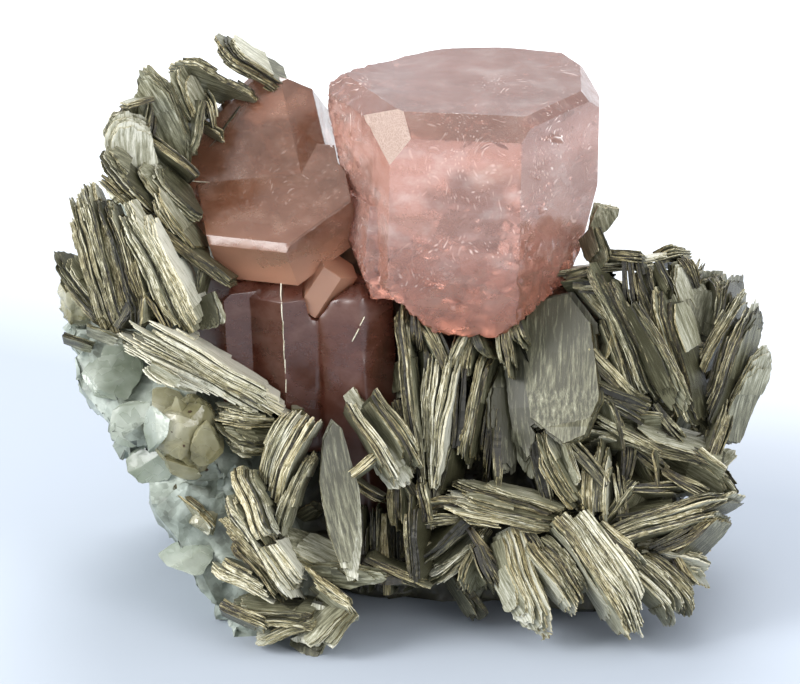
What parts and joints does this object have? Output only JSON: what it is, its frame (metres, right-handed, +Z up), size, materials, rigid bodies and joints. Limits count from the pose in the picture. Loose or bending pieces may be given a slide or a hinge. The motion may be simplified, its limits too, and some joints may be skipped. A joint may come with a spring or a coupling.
{
  "type": "fluorapatite crystals on muscovite",
  "caption": "Pink fluorapatite crystals in a nest of grey-green muscovite mica books on pale feldspar and quartz, a natural mineral specimen.",
  "frame": {"origin": "a point on the flat foot of the matrix, in the plane of the surface that the specimen stands on", "axes": "+Z up, +X to the right as seen from the display side, +Y from the display side to the back"},
  "size_m": [0.0907, 0.0678, 0.068],
  "materials": {
    "apatite_pink": "vitreous, see-through, pale pink",
    "apatite_brown": "vitreous, see-through, brownish pink",
    "apatite_dark": "vitreous, see-through, dark mauve in the shade",
    "muscovite": "pearly on the cleavage, silky on the edges",
    "feldspar": "rough broken, greenish white",
    "quartz": "glassy, conchoidal, yellowish grey"
  },
  "bodies": {
    "root": {"apatite_large": "apatite_pink", "apatite_lower_group": "apatite_dark", "apatite_pair": "apatite_brown", "matrix": "feldspar", "mica_back_middle": "muscovite", "mica_back_right": "muscovite", "mica_big_white": "muscovite", "mica_broad_left": "muscovite", "mica_brown_stack": "muscovite", "mica_crest": "muscovite", "mica_crest_thin": "muscovite", "mica_curved": "muscovite", "mica_dark_blade": "muscovite", "mica_diagonal": "muscovite", "mica_fan_inner": "muscovite", "mica_fan_middle": "muscovite", "mica_fan_outer": "muscovite", "mica_fan_right_inner": "muscovite", "mica_fan_right_middle": "muscovite", "mica_fan_right_outer": "muscovite", "mica_fawn_wedge": "muscovite", "mica_foot_books": "muscovite", "mica_front_book": "muscovite", "mica_hook": "muscovite", "mica_lance": "muscovite", "mica_left_long": "muscovite", "mica_left_main": "muscovite", "mica_lintel": "muscovite", "mica_long": "muscovite", "mica_long_dark": "muscovite", "mica_low_fan": "muscovite", "mica_low_fan_side": "muscovite", "mica_low_flap": "muscovite", "mica_low_lath": "muscovite", "mica_low_left_spur": "muscovite", "mica_low_pair": "muscovite", "mica_low_shelf_middle": "muscovite", "mica_low_shelf_upper": "muscovite", "mica_pale_plate": "muscovite", "mica_pale_streaked": "muscovite", "mica_right_behind": "muscovite", "mica_right_broad": "muscovite", "mica_right_first": "muscovite", "mica_right_long": "muscovite", "mica_right_second": "muscovite", "mica_right_side": "muscovite", "mica_round_blade": "muscovite", "mica_shelf_lower": "muscovite", "mica_shelf_upper": "muscovite", "mica_shield": "muscovite", "mica_slim_left": "muscovite", "mica_slim_middle": "muscovite", "mica_slim_tan": "muscovite", "mica_tall_left": "muscovite", "mica_tongue": "muscovite", "mica_tuft": "muscovite", "mica_twin": "muscovite", "mica_uprights": "muscovite", "quartz_smoky": "quartz", "quartz_yellow": "quartz"}
  },
  "joints": []
}
